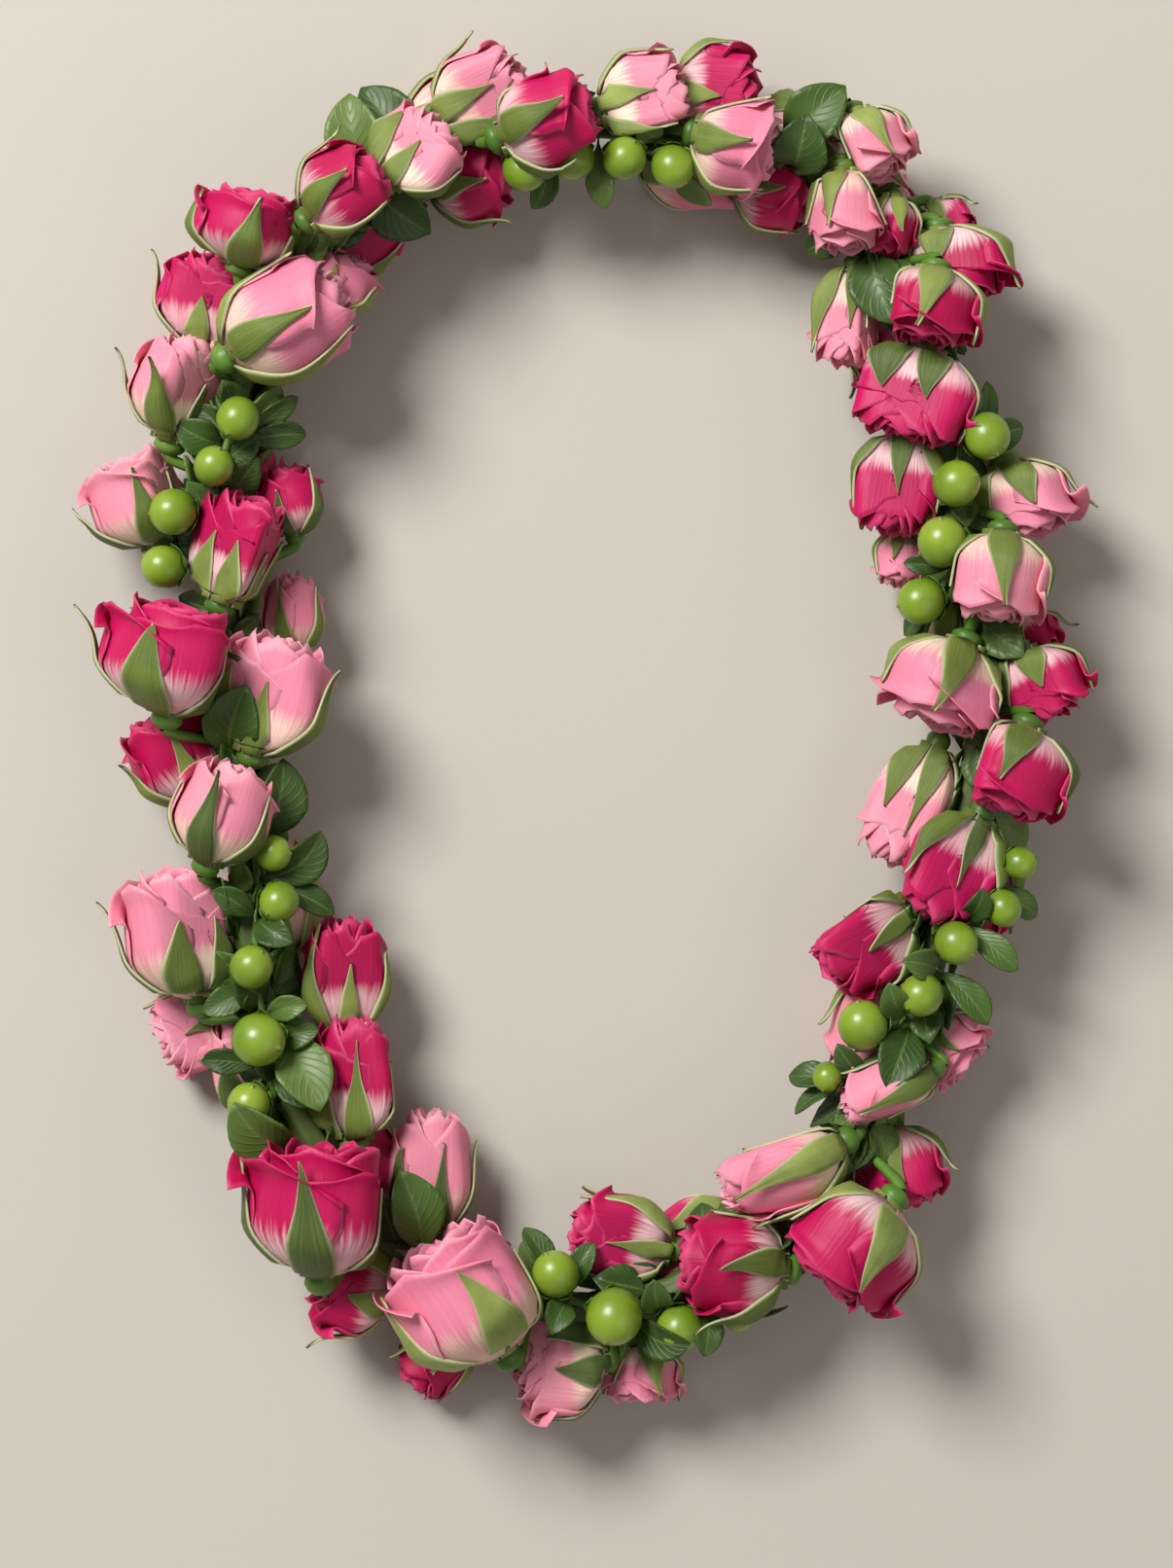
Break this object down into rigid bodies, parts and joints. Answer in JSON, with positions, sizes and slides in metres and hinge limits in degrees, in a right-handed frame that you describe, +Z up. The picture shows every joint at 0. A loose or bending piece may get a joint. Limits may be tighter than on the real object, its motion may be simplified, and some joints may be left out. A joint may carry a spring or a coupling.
{
  "type": "rosebud lei",
  "caption": "Flower garland of hot pink and light pink rosebuds with green sepals, hypericum berries and leaves, strung on a closed loop of cord.",
  "frame": {"origin": "under the middle of the lei's box, on the surface that it lies on", "axes": "+X to the right as seen from above, +Y towards the nape end of the loop, +Z up"},
  "size_m": [0.2932, 0.402, 0.0678],
  "materials": {
    "cord": "matte cotton",
    "stems_and_sepals": "soft leaf green",
    "hot_pink_petals": "satin petal",
    "light_pink_petals": "satin petal",
    "hypericum": "glossy berries, waxy leaves"
  },
  "bodies": {
    "root": {"calyxes_01": "stems_and_sepals", "calyxes_02": "stems_and_sepals", "calyxes_03": "stems_and_sepals", "calyxes_04": "stems_and_sepals", "calyxes_05": "stems_and_sepals", "calyxes_06": "stems_and_sepals", "calyxes_07": "stems_and_sepals", "calyxes_08": "stems_and_sepals", "hot_petals_01": "hot_pink_petals", "hot_petals_02": "hot_pink_petals", "hot_petals_03": "hot_pink_petals", "hot_petals_04": "hot_pink_petals", "hot_petals_05": "hot_pink_petals", "hot_petals_06": "hot_pink_petals", "hot_petals_07": "hot_pink_petals", "hot_petals_08": "hot_pink_petals", "hot_petals_09": "hot_pink_petals", "hot_petals_10": "hot_pink_petals", "hot_petals_11": "hot_pink_petals", "hot_petals_12": "hot_pink_petals", "hot_petals_13": "hot_pink_petals", "hot_petals_14": "hot_pink_petals", "hot_petals_15": "hot_pink_petals", "hot_petals_16": "hot_pink_petals", "hot_petals_17": "hot_pink_petals", "hot_petals_18": "hot_pink_petals", "hot_petals_19": "hot_pink_petals", "hot_petals_20": "hot_pink_petals", "hot_petals_21": "hot_pink_petals", "hot_petals_22": "hot_pink_petals", "hot_petals_23": "hot_pink_petals", "hypericum_01": "hypericum", "hypericum_02": "hypericum", "hypericum_03": "hypericum", "hypericum_04": "hypericum", "hypericum_05": "hypericum", "hypericum_06": "hypericum", "light_petals_01": "light_pink_petals", "light_petals_02": "light_pink_petals", "light_petals_03": "light_pink_petals", "light_petals_04": "light_pink_petals", "light_petals_05": "light_pink_petals", "light_petals_06": "light_pink_petals", "light_petals_07": "light_pink_petals", "light_petals_08": "light_pink_petals", "light_petals_09": "light_pink_petals", "light_petals_10": "light_pink_petals", "light_petals_11": "light_pink_petals", "light_petals_12": "light_pink_petals", "light_petals_13": "light_pink_petals", "light_petals_14": "light_pink_petals", "light_petals_15": "light_pink_petals", "light_petals_16": "light_pink_petals", "light_petals_17": "light_pink_petals", "light_petals_18": "light_pink_petals", "light_petals_19": "light_pink_petals", "light_petals_20": "light_pink_petals", "light_petals_21": "light_pink_petals", "light_petals_22": "light_pink_petals", "string": "cord"}
  },
  "joints": []
}
